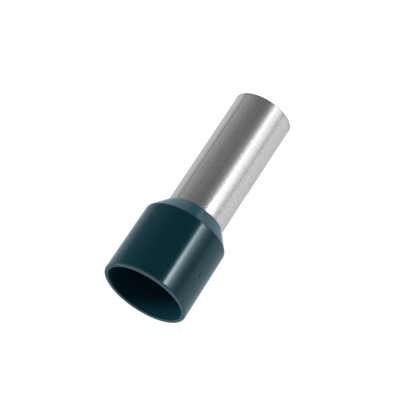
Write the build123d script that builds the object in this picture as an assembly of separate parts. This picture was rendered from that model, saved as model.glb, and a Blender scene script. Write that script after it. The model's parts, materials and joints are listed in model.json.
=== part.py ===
from build123d import *
import math
import os

# Insulated wire ferrule for a 50 mm2 conductor: a thin tin-plated copper sleeve, flared at its
# wire-entry end, held in a moulded plastic collar. It stands on the free end of the sleeve.
# Millimetres. Origin at the centre of the sleeve's free end, +Z along the axis towards the mouth.

# Sleeve
sleeve_od = 10.9
sleeve_wall = 0.3
barrel_length = 24.3
bend_radius = 5.0
end_chamfer = 0.08

# Collar
collar_length = 16.7
entry_bore = 14.3
collar_wall = 0.8
draft_angle = 0.4
cone_length = 3.12
neck_lip = 0.15
rim_round = 0.4
mouth_round = 0.15
shoulder_round = 0.6

# Seat of the sleeve's flare in the collar's funnel; the bend starts just outside the neck
seat_clearance = 0.02
flare_margin = 0.25
bend_lead = 0.05

# Moulding gate's mark on the side of the collar
gate_diameter = 0.7
gate_depth = 0.12
gate_drop = 6.1
gate_bearing = 222.2

# Places along the axis and radii that follow from the sizes above
sleeve_radius = sleeve_od / 2
entry_radius = entry_bore / 2
mouth_radius = entry_radius + collar_wall
mouth_z = barrel_length + collar_length
shoulder_z = barrel_length + cone_length
neck_radius = sleeve_radius + neck_lip
draft_slope = math.tan(math.radians(draft_angle))
shoulder_radius = mouth_radius - (mouth_z - shoulder_z) * draft_slope

# The funnel and the flare run parallel to the collar's outer cone
flare_angle = math.atan2(shoulder_radius - neck_radius, cone_length)
flare_rise = 1 / math.tan(flare_angle)
corner_shift = math.tan(flare_angle / 2)
bend_z = barrel_length - bend_lead + bend_radius * corner_shift


def turned(corners):
    """Revolves a closed outline whose corners each give a radius, a height and a fillet."""
    points = [(radius, height) for radius, height, _ in corners]
    fillets = [rounding for _, _, rounding in corners]
    with BuildPart() as piece:
        with BuildSketch(Plane.XZ):
            with BuildLine():
                FilletPolyline(*points, radius=fillets, close=True)
            make_face()
        revolve(axis=Axis.Z)
    return piece.part


def make_sleeve():
    """One drawn tube of even wall whose upper end is flared outwards to lie in the funnel."""
    inner_radius = sleeve_radius - sleeve_wall
    inner_bend_z = bend_z + sleeve_wall * corner_shift
    flare_radius = entry_radius - flare_margin
    flare_z = bend_z + (flare_radius - sleeve_radius) * flare_rise
    lip_radius = flare_radius - sleeve_wall * math.cos(flare_angle)
    lip_z = flare_z + sleeve_wall * math.sin(flare_angle)
    return turned(
        [
            (sleeve_radius - end_chamfer, 0, 0),
            (sleeve_radius, end_chamfer, 0),
            (sleeve_radius, bend_z, bend_radius),
            (flare_radius, flare_z, 0),
            (lip_radius, lip_z, 0),
            (inner_radius, inner_bend_z, bend_radius + sleeve_wall),
            (inner_radius, 0, 0),
        ]
    )


def make_collar():
    """Moulded holder of the sleeve: neck, cone and drafted body with a rounded rim, hollowed out."""
    body = turned(
        [
            (0, barrel_length, 0),
            (neck_radius, barrel_length, 0),
            (shoulder_radius, shoulder_z, shoulder_round),
            (mouth_radius, mouth_z, rim_round),
            (0, mouth_z, 0),
        ]
    )
    holder = body - entry_hollow()
    top_edges = holder.edges().filter_by(GeomType.CIRCLE).group_by(Axis.Z)[-1]
    mouth_edge = top_edges.sort_by(SortBy.RADIUS)[0]
    return fillet(mouth_edge, mouth_round) - gate_dimple()


def entry_hollow():
    """Way through the collar: neck and funnel that clear the sleeve's outside, then the entry bore."""
    grip_radius = sleeve_radius + seat_clearance
    grip_z = bend_z - seat_clearance * corner_shift
    funnel_z = grip_z + (entry_radius - grip_radius) * flare_rise
    top_z = mouth_z + collar_wall
    return turned(
        [
            (0, 0, 0),
            (grip_radius, 0, 0),
            (grip_radius, grip_z, bend_radius - seat_clearance),
            (entry_radius, funnel_z, 0),
            (entry_radius, top_z, 0),
            (0, top_z, 0),
        ]
    )


def gate_dimple():
    """Shallow round dimple that the moulding gate leaves in the collar's side."""
    gate_z = mouth_z - gate_drop
    surface_radius = mouth_radius - gate_drop * draft_slope
    ball_radius = ((gate_diameter / 2) ** 2 + gate_depth**2) / (2 * gate_depth)
    ball_centre = Location((surface_radius - gate_depth + ball_radius, 0, gate_z))
    return Rot(0, 0, gate_bearing) * ball_centre * Sphere(ball_radius)


os.makedirs("parts", exist_ok=True)
export_step(make_sleeve(), "parts/sleeve.step")
export_step(make_collar(), "parts/collar.step")
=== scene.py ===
import bpy
import json
import math
from collections import namedtuple
from mathutils import Matrix, Vector


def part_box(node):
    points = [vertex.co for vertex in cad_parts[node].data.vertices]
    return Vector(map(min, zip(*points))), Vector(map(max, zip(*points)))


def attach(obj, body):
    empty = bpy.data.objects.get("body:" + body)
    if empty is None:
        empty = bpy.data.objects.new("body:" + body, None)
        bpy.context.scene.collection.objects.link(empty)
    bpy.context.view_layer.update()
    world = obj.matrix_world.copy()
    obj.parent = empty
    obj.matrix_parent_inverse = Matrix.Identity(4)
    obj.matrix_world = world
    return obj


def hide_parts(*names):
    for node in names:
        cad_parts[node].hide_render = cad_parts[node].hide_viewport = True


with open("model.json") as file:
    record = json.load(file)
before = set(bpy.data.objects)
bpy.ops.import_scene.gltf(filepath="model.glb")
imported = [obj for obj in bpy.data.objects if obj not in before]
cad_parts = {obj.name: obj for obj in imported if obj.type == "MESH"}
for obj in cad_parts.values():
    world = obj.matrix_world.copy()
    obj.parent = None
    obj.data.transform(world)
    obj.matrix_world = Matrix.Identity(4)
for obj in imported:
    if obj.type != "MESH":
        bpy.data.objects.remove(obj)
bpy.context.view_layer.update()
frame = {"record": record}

MM = 0.001
ALONG_Y = Vector((0, 1, 0))
ALONG_Z = Vector((0, 0, 1))

# Sizes that the frame gives, in metres
mounts = {mount["name"]: mount for mount in frame["record"]["mounts"]}
collar_low, collar_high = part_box("collar")
SLEEVE_RADIUS = mounts["crimp_barrel"]["dims"]["r_mm"] * MM
SLEEVE_INNER = mounts["conductor_bore"]["dims"]["r_mm"] * MM
ENTRY_RADIUS = mounts["insulation_bore"]["dims"]["r_mm"] * MM
NECK_Z = collar_low[2]
MOUTH_Z = collar_high[2]
FLARE_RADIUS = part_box("sleeve")[1][0]

# Sizes of the forms that the frame doesn't name
COLLAR_WALL = 0.8 * MM
DRAFT = math.radians(0.4)
CONE_LENGTH = 3.12 * MM
NECK_LIP = 0.15 * MM
SEAT_CLEARANCE = 0.02 * MM
RIM_ROUND = 0.4 * MM
MOUTH_ROUND = 0.25 * MM
SHOULDER_ROUND = 0.6 * MM
FUNNEL_ROUND = 0.1 * MM
FUNNEL_BEND = 4.9 * MM
FLARE_BEND = 5.0 * MM
BEND_LEAD = 0.05 * MM
NECK_EDGE = 0.04 * MM
GRIP_EDGE = 0.01 * MM
CUT_EDGE_ROUND = 0.05 * MM
LIP_ROUND = 0.1 * MM

# Gate mark: a small pit with a faint raised rim on the collar's side, drawn out along the axis
GATE_BEARING = math.radians(222.2)
GATE_DROP = 6.1 * MM
GATE_PIT_RADIUS = 0.22 * MM
GATE_PIT_DEPTH = 0.12 * MM
GATE_RIM_RADIUS = 0.5 * MM
GATE_RIM_HEIGHT = 0.015 * MM
GATE_RIM_WIDTH = 0.15 * MM
GATE_LENGTHENING = 1.4

# Mesh density: steps of a turn and an arc, rows along a wall, and the gate mark's finer patch
TURN_STEPS = 240
ARC_STEPS = 9
WALL_STEP = 0.8 * MM
HOLD_GAP = 0.04 * MM
GATE_FINE_STEP = 0.045 * MM
GATE_FINE_REACH = 0.8 * MM
GATE_FINE_MARGIN = 1.2

# Camera, fitted to the photograph: MOUTH_PIXEL is the mouth's centre, where the scale holds
IMAGE_SIDE = 420
SENSOR_MM = 36.0
CAMERA_ELEVATION = math.radians(25.0)
CAMERA_ROLL = math.radians(213.28)
CAMERA_DISTANCE = 373.2 * MM
PIXELS_PER_METRE = 5949.0
MOUTH_PIXEL = (144.04, 294.36)
CLIP_START = 0.01
CLIP_END = 20.0

# Places and radii that follow: the flare and the funnel run parallel to the collar's cone
mouth_radius = ENTRY_RADIUS + COLLAR_WALL
wall_middle = ENTRY_RADIUS + COLLAR_WALL / 2
draft_slope = math.tan(DRAFT)
shoulder_z = NECK_Z + CONE_LENGTH
shoulder_radius = mouth_radius - (MOUTH_Z - shoulder_z) * draft_slope
neck_radius = SLEEVE_RADIUS + NECK_LIP
flare_angle = math.atan2(shoulder_radius - neck_radius, CONE_LENGTH)
flare_rise = 1 / math.tan(flare_angle)
corner_shift = math.tan(flare_angle / 2)
bend_z = NECK_Z - BEND_LEAD + FLARE_BEND * corner_shift
gate_z = MOUTH_Z - GATE_DROP


def add_object(name, data):
    """A new object that stands in the scene and shows the given data."""
    thing = bpy.data.objects.new(name, data)
    bpy.context.scene.collection.objects.link(thing)
    return thing


def corner_arc(before, corner, after):
    """Points of the arc that rounds one corner of an outline."""
    radius, height, rounding = corner
    here = Vector((radius, height))
    back = (Vector(before[:2]) - here).normalized()
    ahead = (Vector(after[:2]) - here).normalized()
    half = back.angle(ahead) / 2
    reach = rounding / math.tan(half)
    centre = here + (back + ahead).normalized() * (rounding / math.sin(half))
    start = here + back * reach - centre
    # angle_signed counts clockwise, and a rotation turns the other way
    turn = -start.angle_signed(here + ahead * reach - centre)
    points = []
    for step in range(ARC_STEPS + 1):
        points.append(centre + Matrix.Rotation(turn * step / ARC_STEPS, 2) @ start)
    return points


def wall_points(start, end):
    """Points between two arcs: one close to each arc, to hold its shading, and even rows."""
    wall = end - start
    if wall.length < 3 * HOLD_GAP:
        return []
    along = wall.normalized()
    inner = wall.length - 2 * HOLD_GAP
    rows = max(1, round(inner / WALL_STEP))
    return [start + along * (HOLD_GAP + inner * row / rows) for row in range(rows + 1)]


def rounded_outline(corners):
    """Points of a closed outline whose corners each give a radius, a height and a rounding."""
    count = len(corners)
    arcs = []
    for index, corner in enumerate(corners):
        arcs.append(corner_arc(corners[index - 1], corner, corners[(index + 1) % count]))
    points = []
    for index, arc in enumerate(arcs):
        next_arc = arcs[(index + 1) % count]
        points.extend(arc)
        points.extend(wall_points(arc[-1], next_arc[0]))
    return points


def even_angles():
    """Angles of an evenly divided turn."""
    return [2 * math.pi * step / TURN_STEPS for step in range(TURN_STEPS)]


def angles_with_fine_patch(bearing, radius):
    """Angles of a turn, finer near one bearing, so that a small mark there has its own vertices."""
    reach = GATE_FINE_REACH / radius
    steps = round(2 * GATE_FINE_REACH / GATE_FINE_STEP)
    angles = [bearing - reach + 2 * reach * step / steps for step in range(steps + 1)]
    for angle in even_angles():
        if abs(math.remainder(angle - bearing, 2 * math.pi)) > reach * GATE_FINE_MARGIN:
            angles.append(angle)
    return sorted(angle % (2 * math.pi) for angle in angles)


def lathe(name, outline, angles, shift=None):
    """A closed ring of quads swept round Z; shift may move a point along its radius."""
    vertices = []
    for angle in angles:
        for radius, height in outline:
            moved = radius if shift is None else radius + shift(radius, height, angle)
            vertices.append((moved * math.cos(angle), moved * math.sin(angle), height))
    rows = len(outline)
    turns = len(angles)
    faces = []
    for turn in range(turns):
        this_turn = turn * rows
        next_turn = (turn + 1) % turns * rows
        for row in range(rows):
            next_row = (row + 1) % rows
            near = (this_turn + row, this_turn + next_row)
            far = (next_turn + next_row, next_turn + row)
            faces.append(near + far)
    mesh = bpy.data.meshes.new(name)
    mesh.from_pydata(vertices, [], faces)
    mesh.validate()
    mesh.update()
    piece = add_object(name, mesh)
    point_outwards(mesh)
    mesh.shade_smooth()
    return piece


def point_outwards(mesh):
    """Turns the faces round if the closed mesh is inside out."""
    volume = 0.0
    for face in mesh.polygons:
        first = mesh.vertices[face.vertices[0]].co
        for index in range(1, len(face.vertices) - 1):
            second = mesh.vertices[face.vertices[index]].co
            third = mesh.vertices[face.vertices[index + 1]].co
            volume += first.dot(second.cross(third))
    if volume < 0:
        mesh.flip_normals()


def make_sleeve():
    """Drawn tube with softly cut edges at its free end and a flare that lies in the funnel."""
    wall = SLEEVE_RADIUS - SLEEVE_INNER
    flare_z = bend_z + (FLARE_RADIUS - SLEEVE_RADIUS) * flare_rise
    lip_radius = FLARE_RADIUS - wall * math.cos(flare_angle)
    lip_z = flare_z + wall * math.sin(flare_angle)
    corners = [
        (SLEEVE_RADIUS, 0, CUT_EDGE_ROUND),
        (SLEEVE_RADIUS, bend_z, FLARE_BEND),
        (FLARE_RADIUS, flare_z, LIP_ROUND),
        (lip_radius, lip_z, LIP_ROUND),
        (SLEEVE_INNER, bend_z + wall * corner_shift, FLARE_BEND + wall),
        (SLEEVE_INNER, 0, CUT_EDGE_ROUND),
    ]
    piece = lathe("tinned_sleeve", rounded_outline(corners), even_angles())
    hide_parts("sleeve")
    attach(piece, "root")
    return piece


def make_collar():
    """Moulded collar: neck, cone, drafted body, rounded rim, entry bore, funnel and gate mark."""
    grip_radius = SLEEVE_RADIUS + SEAT_CLEARANCE
    grip_z = bend_z - SEAT_CLEARANCE * corner_shift
    funnel_z = grip_z + (ENTRY_RADIUS - grip_radius) * flare_rise
    corners = [
        (grip_radius, NECK_Z, GRIP_EDGE),
        (neck_radius, NECK_Z, NECK_EDGE),
        (shoulder_radius, shoulder_z, SHOULDER_ROUND),
        (mouth_radius, MOUTH_Z, RIM_ROUND),
        (ENTRY_RADIUS, MOUTH_Z, MOUTH_ROUND),
        (ENTRY_RADIUS, funnel_z, FUNNEL_ROUND),
        (grip_radius, grip_z, FUNNEL_BEND),
    ]
    outline = with_gate_rows(rounded_outline(corners))
    angles = angles_with_fine_patch(GATE_BEARING, mouth_radius)
    piece = lathe("petrol_collar", outline, angles, gate_shift)
    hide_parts("collar")
    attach(piece, "root")
    return piece


def with_gate_rows(outline):
    """The same outline with fine rows on the outer wall around the gate mark."""
    low = gate_z - GATE_FINE_REACH
    high = gate_z + GATE_FINE_REACH
    steps = round(2 * GATE_FINE_REACH / GATE_FINE_STEP)
    points = []
    placed = False
    for point in outline:
        radius, height = point
        outer = radius > wall_middle
        if outer and low < height < high:
            continue
        if outer and height >= high and not placed:
            for step in range(steps + 1):
                fine_z = low + (high - low) * step / steps
                fine_radius = mouth_radius - (MOUTH_Z - fine_z) * draft_slope
                points.append(Vector((fine_radius, fine_z)))
            placed = True
        points.append(point)
    return points


def gate_shift(radius, height, angle):
    """How far the outer wall moves along its radius at the gate mark."""
    if radius < wall_middle:
        return 0.0
    across = math.remainder(angle - GATE_BEARING, 2 * math.pi) * radius
    distance = math.hypot(across, (height - gate_z) / GATE_LENGTHENING)
    pit = -GATE_PIT_DEPTH * math.exp(-((distance / GATE_PIT_RADIUS) ** 2))
    rim = GATE_RIM_HEIGHT * math.exp(-(((distance - GATE_RIM_RADIUS) / GATE_RIM_WIDTH) ** 2))
    return pit + rim


# Textures: a noise's cells a metre, stretch, detail and roughness; its bump's depth and strength
Texture = namedtuple("Texture", "cells stretch detail roughness depth strength")
DRAWN_LINES = Texture(6500, (1, 1, 0.015), 3.0, 0.6, 0.0006 * MM, 0.4)
BROAD_LINES = Texture(1300, (1, 1, 0.015), 2.0, 0.5, 0.002 * MM, 0.4)
TIN_MOTTLE = Texture(1500, (1, 1, 0.5), 4.0, 0.6, 0.006 * MM, 0.5)
TIN_GRAIN = Texture(4200, (1, 1, 0.7), 2.0, 0.5, 0.004 * MM, 0.4)
FLOW_MARKS = Texture(420, (1, 1, 0.35), 2.0, 0.5, 0.01 * MM, 0.15)
PLASTIC_GRAIN = Texture(3000, (1, 1, 1), 3.0, 0.5, 0.001 * MM, 0.1)

# Tin: darkest and brightest tone, how much of the change the drawn lines make, and roughness
TIN_TONES = ((0.34, 0.34, 0.34), (0.78, 0.78, 0.78))
TIN_LINE_SHARE = 0.3
TIN_ROUGHNESS = (0.14, 0.2)

# Plastic: outside and bore each have their own colours and sheen, and the cone is more matte; the
# bore's lighter colours are painted light inside the mouth
PLASTIC_IOR = 1.4
PLASTIC_ROUGHNESS = (0.1, 0.17)
CONE_MATTE = 0.1
GLOSS_TINT = (0.72, 0.92, 1.0, 1)
SHEEN_TINT = (0.05, 0.7, 1.0, 1)
SHEEN_ROUGHNESS = 0.4
BODY_COLOURS = ((0.0005, 0.0135, 0.0205), (0.001, 0.0175, 0.0255))
BODY_SHEEN = 0.35
# Painted light: the bore's colours are lighter than the body's, to stand in for light inside the
# mouth
BORE_PAINTED_LIGHT_COLOURS = ((0.004, 0.022, 0.032), (0.005, 0.026, 0.038))
BORE_SHEEN = 0.18
BORE_MARGIN = 0.02 * MM


class Nodes:
    """Short calls to add and link shader nodes in one tree."""

    def __init__(self, tree):
        self.tree = tree
        tree.nodes.clear()

    def add(self, kind, **settings):
        node = self.tree.nodes.new(kind)
        for name, value in settings.items():
            setattr(node, name, value)
        return node

    def link(self, source, target):
        self.tree.links.new(source, target)

    def math(self, operation, first, second=None):
        """Result of a maths node, where each value is a number or another node's output."""
        node = self.add("ShaderNodeMath", operation=operation)
        for index, value in enumerate((first, second)):
            if value is None:
                continue
            if isinstance(value, (int, float)):
                node.inputs[index].default_value = value
            else:
                self.link(value, node.inputs[index])
        return node.outputs[0]

    def spread(self, value, low, high, start=0.0, end=1.0):
        """A value that runs from start to end, spread over low to high and held at both."""
        node = self.add("ShaderNodeMapRange")
        self.link(value, node.inputs["Value"])
        node.inputs["From Min"].default_value = start
        node.inputs["From Max"].default_value = end
        node.inputs["To Min"].default_value = low
        node.inputs["To Max"].default_value = high
        return node.outputs["Result"]

    def noise(self, texture):
        """Noise over the object's coordinates; a stretch below 1 draws it out along its axis."""
        place = self.add("ShaderNodeTexCoord")
        mapping = self.add("ShaderNodeMapping")
        mapping.inputs["Scale"].default_value = texture.stretch
        self.link(place.outputs["Object"], mapping.inputs["Vector"])
        node = self.add("ShaderNodeTexNoise")
        node.inputs["Scale"].default_value = texture.cells
        node.inputs["Detail"].default_value = texture.detail
        node.inputs["Roughness"].default_value = texture.roughness
        self.link(mapping.outputs["Vector"], node.inputs["Vector"])
        return node.outputs["Fac"]

    def bump(self, texture, noise, under=None):
        """Normal with a texture's noise on it, on top of another normal if one is given."""
        node = self.add("ShaderNodeBump")
        node.inputs["Distance"].default_value = texture.depth
        node.inputs["Strength"].default_value = texture.strength
        self.link(noise, node.inputs["Height"])
        if under is not None:
            self.link(under, node.inputs["Normal"])
        return node.outputs["Normal"]

    def blend_colours(self, factor, first, second):
        """First colour where the factor is 0, second where it is 1."""
        node = self.add("ShaderNodeMix", data_type="RGBA")
        self.link(factor, node.inputs["Factor"])
        node.inputs["A"].default_value = (*first, 1)
        node.inputs["B"].default_value = (*second, 1)
        return node.outputs["Result"]


def new_material(name):
    """A material with an empty node tree, its Nodes helper and its output node."""
    material = bpy.data.materials.new(name)
    material.use_nodes = True
    nodes = Nodes(material.node_tree)
    output = nodes.add("ShaderNodeOutputMaterial")
    return material, nodes, output


def tinned_copper():
    """Bright tin on a drawn tube: fine lines along the axis, faint mottling, soft gloss."""
    material, nodes, output = new_material("tinned_copper")
    lines = nodes.noise(DRAWN_LINES)
    broad_lines = nodes.noise(BROAD_LINES)
    mottle = nodes.noise(TIN_MOTTLE)
    grain = nodes.noise(TIN_GRAIN)
    line_part = nodes.math("MULTIPLY", lines, TIN_LINE_SHARE)
    grain_part = nodes.math("MULTIPLY", grain, 1 - TIN_LINE_SHARE)
    tone = nodes.math("ADD", line_part, grain_part)
    normal = nodes.bump(BROAD_LINES, broad_lines)
    normal = nodes.bump(DRAWN_LINES, lines, normal)
    normal = nodes.bump(TIN_MOTTLE, mottle, normal)
    normal = nodes.bump(TIN_GRAIN, grain, normal)
    shader = nodes.add("ShaderNodeBsdfPrincipled")
    shader.inputs["Metallic"].default_value = 1.0
    nodes.link(nodes.blend_colours(tone, *TIN_TONES), shader.inputs["Base Color"])
    nodes.link(nodes.spread(mottle, *TIN_ROUGHNESS), shader.inputs["Roughness"])
    nodes.link(normal, shader.inputs["Normal"])
    nodes.link(shader.outputs[0], output.inputs["Surface"])
    return material


def cone_share(nodes):
    """0 on the collar's body and 1 on its cone, with a short fade at the shoulder."""
    place = nodes.add("ShaderNodeTexCoord")
    split = nodes.add("ShaderNodeSeparateXYZ")
    nodes.link(place.outputs["Object"], split.inputs[0])
    fade_start = shoulder_z - SHOULDER_ROUND
    fade_end = shoulder_z + SHOULDER_ROUND
    return nodes.spread(split.outputs["Z"], 1.0, 0.0, fade_start, fade_end)


def petrol_plastic(name, colours, sheen):
    """Glossy moulded plastic in dark petrol: faint flow marks, teal gloss and lighter edges."""
    material, nodes, output = new_material(name)
    flow = nodes.noise(FLOW_MARKS)
    grain = nodes.noise(PLASTIC_GRAIN)
    matte = nodes.math("MULTIPLY", cone_share(nodes), CONE_MATTE)
    roughness = nodes.math("ADD", nodes.spread(flow, *PLASTIC_ROUGHNESS), matte)
    normal = nodes.bump(FLOW_MARKS, flow)
    normal = nodes.bump(PLASTIC_GRAIN, grain, normal)
    shader = nodes.add("ShaderNodeBsdfPrincipled")
    shader.inputs["IOR"].default_value = PLASTIC_IOR
    shader.inputs["Specular Tint"].default_value = GLOSS_TINT
    shader.inputs["Sheen Weight"].default_value = sheen
    shader.inputs["Sheen Roughness"].default_value = SHEEN_ROUGHNESS
    shader.inputs["Sheen Tint"].default_value = SHEEN_TINT
    nodes.link(nodes.blend_colours(flow, *colours), shader.inputs["Base Color"])
    nodes.link(roughness, shader.inputs["Roughness"])
    nodes.link(normal, shader.inputs["Normal"])
    nodes.link(shader.outputs[0], output.inputs["Surface"])
    return material


def finish_collar(piece):
    """Glossy plastic outside; the bore has less sheen and is a little lighter, and that lighter
    colour is painted light.
    """
    mesh = piece.data
    mesh.materials.append(petrol_plastic("petrol_plastic", BODY_COLOURS, BODY_SHEEN))
    mesh.materials.append(petrol_plastic("petrol_bore_painted_light", BORE_PAINTED_LIGHT_COLOURS, BORE_SHEEN))
    bore_slot = len(mesh.materials) - 1
    for face in mesh.polygons:
        looks_inwards = face.center.xy.dot(face.normal.xy) < 0
        if looks_inwards and face.center.xy.length < ENTRY_RADIUS + BORE_MARGIN:
            face.material_index = bore_slot


# Floor, just under the sleeve's end: it shows a glow over a faint grey, and lights as pale grey
FLOOR_SIDE = 6.0
FLOOR_DROP = 0.03 * MM
FLOOR_ALBEDO = 0.85
FLOOR_SEEN_ALBEDO = 0.25
FLOOR_GLOW = 0.9


def seen_directly(nodes):
    """1 for rays that show the background: camera, glossy and transmission rays."""
    path = nodes.add("ShaderNodeLightPath")
    total = nodes.math("ADD", path.outputs["Is Camera Ray"], path.outputs["Is Glossy Ray"])
    total = nodes.math("ADD", total, path.outputs["Is Transmission Ray"])
    return nodes.math("MINIMUM", total, 1.0)


def link_background(nodes, lit, shown, output):
    """Gives the rays that show the background one shader, and all other rays another."""
    mix = nodes.add("ShaderNodeMixShader")
    nodes.link(seen_directly(nodes), mix.inputs["Fac"])
    nodes.link(lit, mix.inputs[1])
    nodes.link(shown, mix.inputs[2])
    nodes.link(mix.outputs[0], output.inputs["Surface"])


def grey_diffuse(nodes, albedo):
    """Shader of an even matt grey."""
    node = nodes.add("ShaderNodeBsdfDiffuse")
    node.inputs["Color"].default_value = (albedo, albedo, albedo, 1)
    return node.outputs[0]


def flat_square(name, side, lengthwise):
    """Square about its own origin, with edges along X and along the given direction."""
    across = Vector((side / 2, 0, 0))
    along = lengthwise * (side / 2)
    corners = [-across - along, across - along, across + along, along - across]
    mesh = bpy.data.meshes.new(name)
    mesh.from_pydata(corners, [], [(0, 1, 2, 3)])
    return add_object(name, mesh)


def make_floor():
    """Plain pale floor that shows white and keeps a faint soft shadow."""
    floor = flat_square("studio_floor", FLOOR_SIDE, ALONG_Y)
    floor.location.z = -FLOOR_DROP
    material, nodes, output = new_material("studio_floor")
    glow = nodes.add("ShaderNodeEmission")
    glow.inputs["Strength"].default_value = FLOOR_GLOW
    shown = nodes.add("ShaderNodeAddShader")
    nodes.link(grey_diffuse(nodes, FLOOR_SEEN_ALBEDO), shown.inputs[0])
    nodes.link(glow.outputs[0], shown.inputs[1])
    link_background(nodes, grey_diffuse(nodes, FLOOR_ALBEDO), shown.outputs[0], output)
    material.cycles.emission_sampling = "NONE"
    floor.data.materials.append(material)


# Tones of the reflector rings, by direction in degrees from the camera's side towards -X
SLEEVE_TONES = (
    (-180, 0.92),
    (-160, 0.77),
    (-148, 0.74),
    (-120, 0.8),
    (-112, 0.68),
    (-104, 0.32),
    (-97, 0.53),
    (-80, 0.43),
    (-50, 0.28),
    (-16, 0.22),
    (0, 0.28),
    (12, 0.52),
    (22, 1.3),
    (28, 2.05),
    (36, 1.68),
    (48, 1.38),
    (62, 0.91),
    (69, 0.71),
    (77, 0.98),
    (95, 0.98),
    (120, 0.89),
    (148, 0.74),
    (160, 0.76),
    (180, 0.92),
)
COLLAR_TONES = (
    (-180, 0.85),
    (-160, 0.85),
    (-140, 0.72),
    (-118, 0.6),
    (-105, 0.3),
    (-78, 0.24),
    (-40, 0.14),
    (14, 0.1),
    (22, 1.2),
    (25, 10.0),
    (27.5, 20.5),
    (30, 14.0),
    (32, 10.5),
    (36, 6.5),
    (40, 4.2),
    (44, 3.0),
    (50, 1.3),
    (66, 0.42),
    (82, 1.05),
    (100, 1.0),
    (125, 0.8),
    (150, 0.68),
    (180, 0.8),
)
MIRROR_PASSES = 4

# Rings from the axis outwards: a dark one under the sleeve's end, painted contact shadow that the
# sleeve's end mirrors, then the sleeve's and the collar's
FOOT_START = 4.6 * MM
CONTACT_SHADE_TONE = 0.35
RING_START = 5.5 * MM
RING_SPLIT = 60.0 * MM
RING_END = 140.0 * MM
RING_DROP = 0.015 * MM
RING_STEPS = 180

# The sleeve's ring is shaded at its inner edge, close to the sleeve's foot
FOOT_SHADE = 0.7
FOOT_SHADE_END = 6.1 * MM

# What a tone has above STRIP_TONE makes the collar's bright strip, and it grows outwards
STRIP_TONE = 2.5
STRIP_START = 67.0 * MM
STRIP_END = 92.0 * MM
STRIP_LOW = 0.8
STRIP_HIGH = 1.35

# Square cards: a grey one and a bright one for the rim, and a small one for the cone's flank
Card = namedtuple("Card", "name place side lengthwise tone")
CARDS = (
    Card("rim_card", (0, 150 * MM, 112 * MM), 150 * MM, ALONG_Z, 0.5),
    Card("top_card", (0, -200 * MM, 500 * MM), 1400 * MM, ALONG_Y, 2.6),
    Card("flank_card", (-5 * MM, 41 * MM, -0.01 * MM), 21 * MM, ALONG_Y, 1.7),
)


def seen_in_gloss_only(card):
    """Hides a reflector from every ray but glossy ones."""
    card.visible_camera = False
    card.visible_diffuse = False
    card.visible_shadow = False
    card.visible_transmission = False
    card.visible_volume_scatter = False


def mirrored_direction(nodes, place, reach, wall_radius):
    """Direction in which a round wall mirrors each place of a ring towards the camera's side.

    A point of the wall mirrors the direction at twice its own angle. It lies off the axis, and
    each pass allows for that.
    """
    split = nodes.add("ShaderNodeSeparateXYZ")
    nodes.link(place, split.inputs[0])
    across = nodes.math("MULTIPLY", split.outputs["X"], -1.0)
    ahead = nodes.math("MULTIPLY", split.outputs["Y"], -1.0)
    bearing = nodes.math("ARCTAN2", across, ahead)
    nearness = nodes.math("DIVIDE", wall_radius, reach)
    direction = bearing
    for _ in range(MIRROR_PASSES):
        sideways = nodes.math("SINE", nodes.math("DIVIDE", direction, 2.0))
        offset = nodes.math("ARCSINE", nodes.math("MULTIPLY", nearness, sideways))
        direction = nodes.math("ADD", bearing, offset)
    return direction


def tone_ramp(nodes, direction, tones, peak):
    """Each tone, as a share of the peak, at its direction, with even changes between them."""
    ramp = nodes.add("ShaderNodeValToRGB")
    # The ramp covers one turn, and the camera's side lies at its middle
    turn = nodes.math("ADD", nodes.math("DIVIDE", direction, 2 * math.pi), 0.5)
    nodes.link(turn, ramp.inputs["Fac"])
    stops = ramp.color_ramp.elements
    while len(stops) < len(tones):
        stops.new(0.5)
    for stop, (degrees, tone) in zip(stops, tones):
        share = tone / peak
        stop.position = degrees / 360 + 0.5
        stop.color = (share, share, share, 1)
    return ramp.outputs["Color"]


def graded_glow(name, tones, wall_radius):
    """Emission of a ring: its tones by direction, the shade at the foot and the strip's growth."""
    material, nodes, output = new_material(name)
    place = nodes.add("ShaderNodeTexCoord").outputs["Object"]
    length = nodes.add("ShaderNodeVectorMath", operation="LENGTH")
    nodes.link(place, length.inputs[0])
    reach = length.outputs["Value"]
    peak = max(tone for _, tone in tones)
    direction = mirrored_direction(nodes, place, reach, wall_radius)
    tone = tone_ramp(nodes, direction, tones, peak)
    foot = nodes.spread(reach, FOOT_SHADE, 1.0, RING_START, FOOT_SHADE_END)
    growth = nodes.spread(reach, STRIP_LOW, STRIP_HIGH, STRIP_START, STRIP_END)
    plain = nodes.math("MINIMUM", tone, STRIP_TONE / peak)
    strip = nodes.math("MAXIMUM", nodes.math("SUBTRACT", tone, STRIP_TONE / peak), 0.0)
    level = nodes.math("ADD", plain, nodes.math("MULTIPLY", strip, growth))
    glow = nodes.add("ShaderNodeEmission")
    nodes.link(nodes.math("MULTIPLY", foot, peak), glow.inputs["Strength"])
    nodes.link(level, glow.inputs["Color"])
    nodes.link(glow.outputs[0], output.inputs["Surface"])
    material.cycles.emission_sampling = "NONE"
    return material


def plain_glow(name, tone):
    """Emission of one grey tone that lights nothing by itself."""
    material, nodes, output = new_material(name)
    glow = nodes.add("ShaderNodeEmission")
    glow.inputs["Strength"].default_value = tone
    nodes.link(glow.outputs[0], output.inputs["Surface"])
    material.cycles.emission_sampling = "NONE"
    return material


def ring_card(name, inner, outer, material):
    """Flat ring round the axis, between the floor and the free end of the sleeve."""
    vertices = []
    for step in range(RING_STEPS):
        bearing = 2 * math.pi * step / RING_STEPS
        for radius in (inner, outer):
            vertices.append((radius * math.cos(bearing), radius * math.sin(bearing), 0))
    faces = []
    for step in range(RING_STEPS):
        here = 2 * step
        ahead = 2 * ((step + 1) % RING_STEPS)
        faces.append((here, here + 1, ahead + 1, ahead))
    mesh = bpy.data.meshes.new(name)
    mesh.from_pydata(vertices, [], faces)
    card = add_object(name, mesh)
    card.location.z = -RING_DROP
    seen_in_gloss_only(card)
    mesh.materials.append(material)


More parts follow.
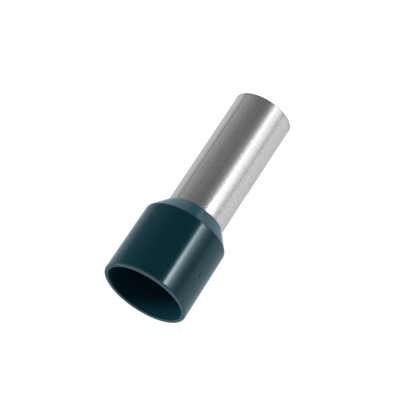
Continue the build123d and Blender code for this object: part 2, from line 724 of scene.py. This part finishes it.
def square_card(name, place, side, lengthwise, tone):
    """Flat card of one tone, with edges along X and along the given direction."""
    card = flat_square(name, side, lengthwise)
    card.location = place
    seen_in_gloss_only(card)
    card.data.materials.append(plain_glow(name, tone))


def make_reflectors():
    """The rings under the sleeve and for the two walls, and the cards for the rim and the cone."""
    inner_glow = graded_glow("sleeve_card", SLEEVE_TONES, SLEEVE_RADIUS)
    outer_glow = graded_glow("collar_card", COLLAR_TONES, mouth_radius)
    # Painted shade: the dark ring under the sleeve's end stands in for its contact shadow in the
    # reflections
    ring_card("contact_shade_card", FOOT_START, RING_START, plain_glow("contact_shade_card", CONTACT_SHADE_TONE))
    ring_card("sleeve_card", RING_START, RING_SPLIT, inner_glow)
    ring_card("collar_card", RING_SPLIT, RING_END, outer_glow)
    for card in CARDS:
        square_card(*card)


# World: the strength of its even fill, and of the white that shows
WORLD_FILL = 0.4
WORLD_WHITE = 1.0

# Lamps, each with its place in metres, the side of its square and its power in watts
Lamp = namedtuple("Lamp", "name place side watts")
LAMPS = (
    Lamp("left_lamp", (0.645, -0.26, 0.19), 0.22, 5.0),
    Lamp("right_lamp", (-0.65, -0.15, 0.045), 0.08, 4.5),
)


def even_white(nodes, strength):
    """White background of one strength."""
    node = nodes.add("ShaderNodeBackground")
    node.inputs["Color"].default_value = (1, 1, 1, 1)
    node.inputs["Strength"].default_value = strength
    return node.outputs[0]


def make_world():
    """White for rays that show the background, and an even pale fill for the rest."""
    world = bpy.data.worlds.new("studio")
    world.use_nodes = True
    nodes = Nodes(world.node_tree)
    output = nodes.add("ShaderNodeOutputWorld")
    fill = even_white(nodes, WORLD_FILL)
    white = even_white(nodes, WORLD_WHITE)
    link_background(nodes, fill, white, output)
    world.cycles.sampling_method = "NONE"
    bpy.context.scene.world = world


def make_lamp(name, place, side, watts):
    """Square soft lamp, aimed at the middle of the ferrule and not seen in gloss."""
    light = bpy.data.lights.new(name, "AREA")
    light.size = side
    light.energy = watts
    lamp = add_object(name, light)
    aim = Vector((0, 0, MOUTH_Z / 2)) - Vector(place)
    lamp.location = place
    lamp.rotation_euler = aim.to_track_quat("-Z", "Y").to_euler()
    lamp.visible_glossy = False


def make_camera():
    """The photograph's camera: it looks into the mouth from above, rolled past upside down."""
    rise = math.sin(CAMERA_ELEVATION)
    level = math.cos(CAMERA_ELEVATION)
    back = Vector((0, -level, rise))
    upright = Vector((0, rise, level))
    sideways = Vector((1, 0, 0))
    right = math.cos(CAMERA_ROLL) * sideways + math.sin(CAMERA_ROLL) * upright
    up = math.cos(CAMERA_ROLL) * upright - math.sin(CAMERA_ROLL) * sideways
    offset_x = (MOUTH_PIXEL[0] - IMAGE_SIDE / 2) / PIXELS_PER_METRE
    offset_y = (IMAGE_SIDE / 2 - MOUTH_PIXEL[1]) / PIXELS_PER_METRE
    place = Vector((0, 0, MOUTH_Z)) + back * CAMERA_DISTANCE - right * offset_x - up * offset_y
    data = bpy.data.cameras.new("camera")
    data.sensor_width = SENSOR_MM
    data.lens = SENSOR_MM * PIXELS_PER_METRE * CAMERA_DISTANCE / IMAGE_SIDE
    data.clip_start = CLIP_START
    data.clip_end = CLIP_END
    camera = add_object("camera", data)
    turn = Matrix((right, up, back)).transposed().to_4x4()
    camera.matrix_world = Matrix.Translation(place) @ turn
    bpy.context.scene.camera = camera


make_camera()
make_sleeve().data.materials.append(tinned_copper())
finish_collar(make_collar())
make_floor()
make_reflectors()
make_world()
for lamp in LAMPS:
    make_lamp(*lamp)
bpy.context.scene.view_settings.view_transform = "Standard"
